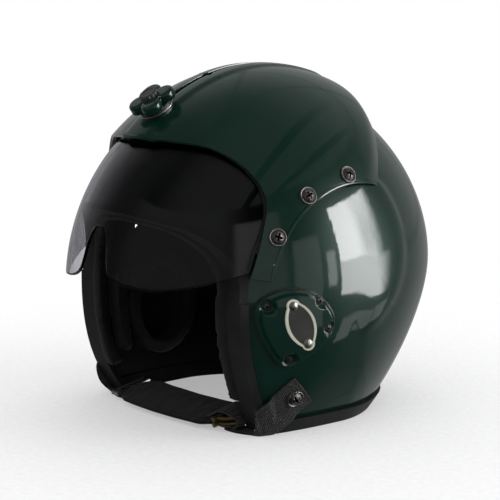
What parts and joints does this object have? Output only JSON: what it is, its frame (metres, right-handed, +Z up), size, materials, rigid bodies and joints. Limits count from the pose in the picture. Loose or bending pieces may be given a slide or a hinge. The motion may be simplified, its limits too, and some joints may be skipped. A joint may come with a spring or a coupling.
{
  "type": "pilot helmet with sliding visor",
  "caption": "Hard pilot helmet standing on its neck edge, with a smoke visor that slides under a clamped-on housing, a lobed lock knob, ear covers and a chin strap.",
  "frame": {"origin": "centre of the overall box, on the plane that the neck edge rests on", "axes": "+Z up to the crown, -Y the way the face looks, +X the wearer's left, which is the side with the badge"},
  "size_m": [0.233, 0.2776, 0.2439],
  "materials": {
    "green_gloss": "high gloss, very dark green",
    "black_rubber": "matt",
    "black_leather": "matt",
    "dark_plastic": "satin",
    "dark_steel": "darkened",
    "cream_enamel": "satin",
    "dark_enamel": "satin",
    "smoke_lens": "clear smoke tint, glossy",
    "grey_metal": "satin",
    "grey_plastic": "satin",
    "black_webbing": "woven, matt",
    "black_cloth": "woven, matt",
    "brass_wire": "polished",
    "bright_steel": "satin",
    "black_foam": "matt foam"
  },
  "bodies": {
    "helmet": {"outer_shell": "green_gloss", "visor_housing": "green_gloss", "ear_cover_left": "green_gloss", "ear_cover_right": "green_gloss", "face_trim": "black_rubber", "neck_trim": "black_rubber", "visor_seal": "black_rubber", "edge_roll": "black_leather", "ear_seal_left": "black_leather", "ear_seal_right": "black_leather", "brow_pad": "black_leather", "crown_pad": "black_leather", "nape_pad": "black_leather", "cheek_pad_left": "black_leather", "cheek_pad_right": "black_leather", "side_track_left": "dark_plastic", "side_track_right": "dark_plastic", "centre_track": "dark_plastic", "housing_screws": "dark_steel", "housing_washers": "dark_steel", "strap_screws": "dark_steel", "strap_washers": "dark_steel", "ear_cover_screws_left": "dark_steel", "ear_cover_screws_right": "dark_steel", "badge_rivets": "dark_steel", "badge_plate": "cream_enamel", "badge_field": "dark_enamel", "strap_tab_left": "black_webbing", "strap_tab_right": "black_webbing", "impact_liner": "black_foam", "ear_cup_left": "dark_plastic", "ear_cup_right": "dark_plastic"},
    "visor": {"visor_lens": "smoke_lens", "visor_carrier": "grey_metal", "carrier_rivets": "dark_steel"},
    "knob": {"knob_washer": "grey_metal", "knob_disc": "dark_plastic", "knob_star": "green_gloss", "knob_cap": "grey_plastic"},
    "chin_strap": {"strap_sleeve": "black_cloth", "strap_webbing": "black_webbing", "d_rings": "brass_wire", "strap_slider": "bright_steel"}
  },
  "joints": [
    {"name": "visor_slide", "type": "hinge", "parent": "helmet", "child": "visor", "pos_m": [0, 0.0055, 0.0896], "axis": [-1, 0, 0], "range_deg": [0, 50]},
    {"name": "knob_turn", "type": "hinge", "parent": "visor", "child": "knob", "pos_m": [0, -0.09322, 0.228], "axis": [0, -0.5807, 0.8141], "range_deg": [0, 90]},
    {"name": "chin_strap_swing", "type": "hinge", "parent": "helmet", "child": "chin_strap", "pos_m": [0, -0.0525, 0.0076], "axis": [-1, 0, 0], "range_deg": [0, 45]}
  ]
}
